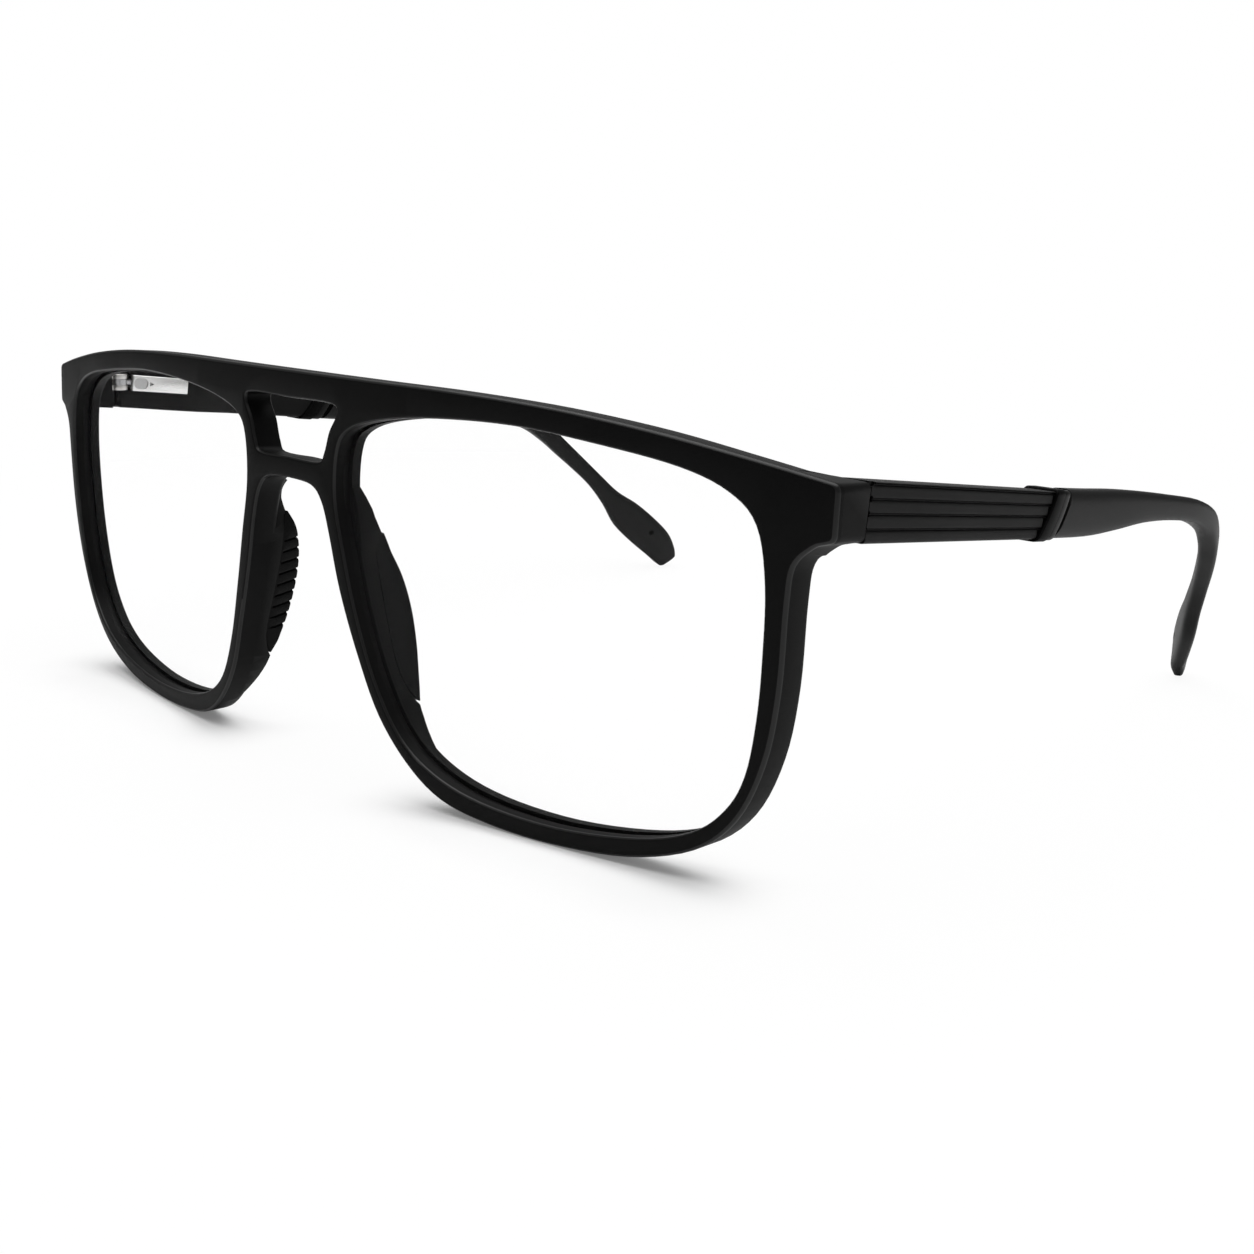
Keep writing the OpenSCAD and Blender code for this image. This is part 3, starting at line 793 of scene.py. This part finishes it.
polished_silver = Shader("polished_nickel_silver", Metallic=1.0)
rub = polished_silver.node("ShaderNodeTexNoise", None, {
    "Vector": polished_silver.node("ShaderNodeMapping", None, {
        "Vector": polished_silver.place(), "Scale": (900, 60, 900)}), "Scale": 1.0, "Detail": 3.0})
polished_silver.set("Base Color", polished_silver.mix(
    rub, (0.78, 0.78, 0.77, 1), (0.87, 0.87, 0.86, 1)))
polished_silver.set("Roughness", 0.22 + 0.12 * rub)
polished_silver.bump(rub, 0.000004, 0.4)
finish_pair(housing, "spring_housing", "block", polished_silver, "temple_SIDE")
blasted_silver = Shader("blasted_nickel_silver", Metallic=1.0)
frost = blasted_silver.noise(3000, 2)
blasted_silver.set("Base Color", blasted_silver.mix(frost, grey(0.5), grey(0.62)))
blasted_silver.set("Roughness", 0.42 + 0.12 * frost)
for side in ("left", "right"):
    marked = bpy.data.objects[f"spring_housing_{side}_block"]
    marked.data.materials.append(blasted_silver.material)
    for face in marked.data.polygons:
        x, y, z = face.center
        x, along, z = ARM_FRAME.inverted() @ (Vector((abs(x), y, z)) / MM
                                              + Vector((0, BACK_TO_BRIDGE, 0)))
        if 0.02 < x - HOUSING_X[0] < 0.34 and 1.85 < along < 5.5 and abs(z) < 0.9:
            face.material_index = 1

# ---------------------------------------------------------------- temple arms
# The front half of each temple is a stiff black nylon bar with four flat ribs along
# its outer face. It butts on the endpiece in front and on the collar behind.
ARM_IN, ARM_OUT, ARM_LOW, ARM_TOP = 0.85, 4.85, -3.95, 1.55
RIB_GROOVES, GROOVE_HALF, GROOVE_DEEP = (-2.7, -1.32, 0.0, 1.3), 0.17, 0.24
COLLAR_MIDDLE = -1.2
ARM_FLARE = 0.8        # how much taller the arm is at the joint than at the collar
JOINT_GAP = 0.08


def leaning_edge(middle, lean, bow):
    """Where a slanting, slightly bowed edge lies along the temple, at each height."""
    return lambda z: middle + lean * (z - COLLAR_MIDDLE) - bow * (z - COLLAR_MIDDLE) ** 2


ring_front = leaning_edge(36.54, 0.62, 0.048)
ring_back = leaning_edge(38.84, 0.54, 0.061)
band_front = leaning_edge(38.89, 0.54, 0.061)
band_back = leaning_edge(40.26, 0.53, 0.05)
tip_front = leaning_edge(41.5, 0.53, 0.035)


def leaning_piece(name, section, front, back):
    """A section of the temple between two slanting edges."""
    piece = prism(name, section, 0, 1)
    edit(piece)
    lowest = min(z for x, z in section)
    height = max(z for x, z in section) - lowest
    for k in range(1, 16):
        bpy.ops.mesh.select_all(action="SELECT")
        bpy.ops.mesh.bisect(plane_co=(0, 0, lowest + height * k / 16 + 0.011), plane_no=(0, 0, 1))
    leave()
    for vertex in piece.data.vertices:
        x, share, z = vertex.co
        vertex.co = (x, front(z) + share * (back(z) - front(z)), z)
    return piece


def rounded_section(grow, radius):
    """The temple's section, grown, with round corners."""
    x0, x1, z0, z1 = ARM_IN - grow, ARM_OUT + grow, ARM_LOW - grow, ARM_TOP + grow
    return (arc((x0 + radius, z0 + radius), radius, 270, 180, 5)
            + arc((x0 + radius, z1 - radius), radius, 180, 90, 5)
            + arc((x1 - radius, z1 - radius), radius, 90, 0, 5)
            + arc((x1 - radius, z0 + radius), radius, 0, -90, 5))


def core_hole(start, stop):
    return block("core_hole", (1.87, 3.83), (start, stop), (-3.03, 0.63))


rib_face = []
for z in RIB_GROOVES:
    rib_face += [(ARM_OUT, z - GROOVE_HALF - 0.1), (ARM_OUT - 0.03, z - GROOVE_HALF),
                 (ARM_OUT - GROOVE_DEEP, z - 0.03), (ARM_OUT - GROOVE_DEEP, z + 0.03),
                 (ARM_OUT - 0.03, z + GROOVE_HALF),
                 (ARM_OUT, min(z + GROOVE_HALF + 0.1, ARM_TOP - 0.06))]
arm_section = (arc((ARM_IN + 0.5, ARM_LOW + 0.5), 0.5, 270, 180, 5)
               + arc((ARM_IN + 0.5, ARM_TOP - 0.5), 0.5, 180, 90, 5)
               + [(ARM_OUT - 0.25, ARM_TOP), (ARM_OUT - 0.08, ARM_TOP - 0.03)]
               + list(reversed(rib_face)) + arc((ARM_OUT - 0.4, ARM_LOW + 0.4), 0.4, 0, -90, 5))
arm = leaning_piece("temple_arm_left_moulding", arm_section, lambda z: -5,
                    lambda z: ring_front(z) - 0.04)
# The inner side swells around the spring housing and leaves only its face in sight
cheek = prism("cheek", [(1, 0.1), (-0.4, 0.1), (-0.6, 0.4), (-0.6, 3.2), (-1.26, 8), (-1.26, 13.4),
                        (-0.9, 15.2), (0.2, 20), (1, 25)], ARM_LOW + 0.06, ARM_TOP - 0.3)
cheek.data.transform(Matrix(((1, 0, 0, 0), (0, 0, 1, 0), (0, 1, 0, 0), (0, 0, 0, 1))))
turn_outwards(cheek)
round_edges(cheek, 0.3, 3, 60)
combine(arm, [cheek], "UNION")
for vertex in arm.data.vertices:
    share = (vertex.co.z - ARM_LOW) / (ARM_TOP - ARM_LOW)
    vertex.co.z += ARM_FLARE * share * step(-26, 1, -vertex.co.y)
notches = [core_hole(27.9, 60),
           block("housing_pocket", (-2, HOUSING_X[1] + 0.03), (-6, PLATE_END),
                 (-HOUSING_HALF - 0.03, HOUSING_HALF + 0.03)),
           block("housing_end_pocket", (-1.1, HOUSING_X[1] + 0.03),
                 (PLATE_END - 1, HOUSING_ALONG[1] + 0.03),
                 (-HOUSING_HALF - 0.03, HOUSING_HALF + 0.03))]
rib_ends = (ARM_LOW,) + RIB_GROOVES
for low, high in zip(rib_ends, rib_ends[1:]):
    notches.append(block("rib_end_notch", (ARM_OUT - 0.5, ARM_OUT + 1),
                         (ring_front(low + 0.1) - 0.1, 45), (low + 0.16, high - 0.16)))
for z in RIB_GROOVES:
    share = (z - ARM_LOW) / (ARM_TOP - ARM_LOW)
    notch = side_prism("rib_start_notch", [(-2, 0.45), (-0.75, 0.3), (-0.35, 0), (-0.75, -0.3),
                                           (-2, -0.45)], ARM_OUT - 0.45, ARM_OUT + 1)
    notch.data.transform(Matrix.Translation((0, JOINT_LEAN * (z + 0.4), z + ARM_FLARE * share)))
    notches.append(notch)
combine(arm, notches)
arm.data.transform(ARM_FRAME)
trim(arm, (0, JOINT_Y + JOINT_GAP, JOINT_MIDDLE), (0, -1, JOINT_LEAN))
combine(arm, [rod("knuckle_clearance", KNUCKLE_RADIUS + 0.35, PIN[2] - RECESS_HALF,
                  PIN[2] + RECESS_HALF)])
smooth(arm, 25)

temple_black = Shader("matt_black_temple", Roughness=0.5, Specular_IOR_Level=0.1)
cloud = temple_black.noise(90, 3)
temple_black.set("Base Color", temple_black.mix(cloud, grey(0.0028), grey(0.004)))
temple_black.set("Roughness", 0.42 + 0.12 * cloud)
temple_black.bump(temple_black.noise(8000, 2), 0.00001, 0.35)
finish_pair(arm, "temple_arm", "moulding", temple_black, "temple_SIDE")

# ---------------------------------------------------------------- collars
# A slanting moulded ring and a narrow band close the joint between the two halves
# of each temple. Both slide over the core and are glued to it. They stand proud.


def collar(name, section, front, back, rounding):
    """A section between two slanting edges, rounded along them and bored for the core."""
    piece = leaning_piece(name, section, front, back)
    mesh = edit(piece)
    pick(mesh, "edges", lambda e, c: len(e.link_faces) == 2
         and e.calc_face_angle() > math.radians(50)
         and (abs(c.y - front(c.z)) < 0.02 or abs(c.y - back(c.z)) < 0.02))
    bpy.ops.mesh.bevel(offset=rounding, segments=3, affect="EDGES")
    leave()
    combine(piece, [core_hole(20, 60)])
    piece.data.transform(ARM_FRAME)
    smooth(piece)
    return piece


ring = collar("collar_ring_left_moulding", rounded_section(0.3, 0.6), ring_front, ring_back, 0.16)
band = collar("collar_band_left_moulding", rounded_section(0.17, 0.55), band_front, band_back,
              0.14)

collar_black = Shader("satin_black_collar", Roughness=0.35, Specular_IOR_Level=0.14)
cloud = collar_black.noise(150, 3)
collar_black.set("Base Color", collar_black.mix(cloud, grey(0.0018), grey(0.003)))
collar_black.set("Roughness", 0.3 + 0.1 * cloud)
collar_black.bump(collar_black.noise(7000, 2), 0.000006, 0.3)
ring_black = Shader("matt_black_ring", Roughness=0.4, Specular_IOR_Level=0.04)
cloud = ring_black.noise(150, 3)
ring_black.set("Base Color", ring_black.mix(cloud, grey(0.0008), grey(0.0016)))
ring_black.set("Roughness", 0.36 + 0.1 * cloud)
ring_black.bump(ring_black.noise(7000, 2), 0.000006, 0.3)
finish_pair(ring, "collar_ring", "moulding", ring_black, "temple_SIDE")
finish_pair(band, "collar_band", "moulding", collar_black, "temple_SIDE")

# ---------------------------------------------------------------- temple cores
# A flat black nylon tongue runs through each collar and joins the two halves of the
# temple. A shallow neck around it is a dark filler at the bottom of the gap behind the collar.
# Both are black nylon, coloured darker and duller than the other black parts as painted shade in
# that gap.
core = block("temple_core_left_moulding", (1.9, 3.8), (28, 52), (-3, 0.6))
round_edges(core, 0.15, 2, 50)
neck = leaning_piece("neck", rounded_section(-0.5, 0.4), lambda z: band_back(z) + 0.03,
                     lambda z: tip_front(z) - 0.03)
combine(core, [neck], "UNION")
core.data.transform(ARM_FRAME)
smooth(core)
# Darker and duller than the other blacks: painted shade for the gap behind the collar.
core_and_gap_shade = Shader("black_nylon_core_painted_gap_shade", Roughness=0.8, Specular_IOR_Level=0.02)
core_and_gap_shade.set("Base Color", core_and_gap_shade.mix(core_and_gap_shade.noise(400), grey(0.0006), grey(0.0014)))
finish_pair(core, "temple_core", "moulding", core_and_gap_shade, "temple_SIDE")

# ---------------------------------------------------------------- temple tips
# The rear half of each temple is a softer satin moulding, thin where it bends down
# behind the ear and broad at its end, where the frame stands on the table.
tip_stations = open_curve([
    (69.4, 54, 36.35, 5.9, 3.7), (69.3, 64, 35.3, 5.75, 3.5), (69.2, 72, 34.8, 5.1, 3.3),
    (69.1, 80, 34.3, 4, 3.2), (69, 88, 33.4, 3.35, 3.1), (68.7, 96, 32.1, 3.2, 3),
    (67.9, 102.9, 29.9, 3.4, 2.9), (66.9, 107.1, 27.1, 3.3, 2.8), (65.7, 110.2, 24.2, 3.2, 2.65),
    (64.2, 113.2, 21.2, 3, 2.5), (62.4, 116.3, 17.8, 3, 2.35), (60.6, 119, 14.2, 3.9, 2.35),
    (59, 121.6, 11, 6.1, 2.45), (57.2, 124.6, 7.9, 6.6, 2.5), (55.6, 127.5, 4.9, 6.2, 2.4),
    (55, 129.25, 2.5, 5.1, 2.1), (54.7, 130.15, 0.83, 3.5, 1.4)], 4)


def tip_ring(i, inset=0.0, ahead=0.0):
    """A round-cornered ring square to the tip's centre line."""
    here = Vector(tip_stations[i][:3])
    after = Vector(tip_stations[min(i + 1, len(tip_stations) - 1)][:3])
    before = Vector(tip_stations[max(i - 1, 0)][:3])
    way = (after - before).normalized()
    out = Vector((-way.y, way.x, 0)).normalized()
    up = way.cross(out)
    high, thick = tip_stations[i][3] / 2 - inset, tip_stations[i][4] / 2 - inset
    made = []
    for k in range(36):
        a = math.tau * k / 36
        rise, aside = math.sin(a), math.cos(a)
        made.append(here + way * ahead + up * (high * math.copysign(abs(rise) ** 0.55, rise))
                    + out * (thick * math.copysign(abs(aside) ** 0.55, aside)))
    return made


last = len(tip_stations) - 1
tip = swept("temple_tip_left_moulding", [tip_ring(i) for i in range(last)]
            + [tip_ring(last, 0.12, -0.25), tip_ring(last, 0.35, -0.02)])
before_tip = leaning_piece("before_tip", [(-10, -20), (-10, 20), (15, 20), (15, -20)],
                           lambda z: -30, tip_front)
before_tip.data.transform(ARM_FRAME)
hole = core_hole(30, 52.1)
hole.data.transform(ARM_FRAME)
dimple = prism("dimple", arc((0, 0), 0.5, 360, 18, 19), -3, -0.95)
dimple.data.transform(Matrix.Rotation(math.radians(-90), 4, "Z"))
dimple.data.transform(Matrix.Translation((57.2, 125.6, 7.2)))
combine(tip, [before_tip, hole, dimple])
smooth(tip, 40)

tip_satin = Shader("satin_black_tip", Roughness=0.45, Specular_IOR_Level=0.13)
cloud = tip_satin.noise(70, 3)
tip_satin.set("Base Color", tip_satin.mix(cloud, grey(0.0045), grey(0.0065)))
tip_satin.set("Roughness", 0.4 + 0.1 * cloud)
tip_satin.bump(tip_satin.noise(7000, 2), 0.000008, 0.3)
finish_pair(tip, "temple_tip", "moulding", tip_satin, "temple_SIDE")
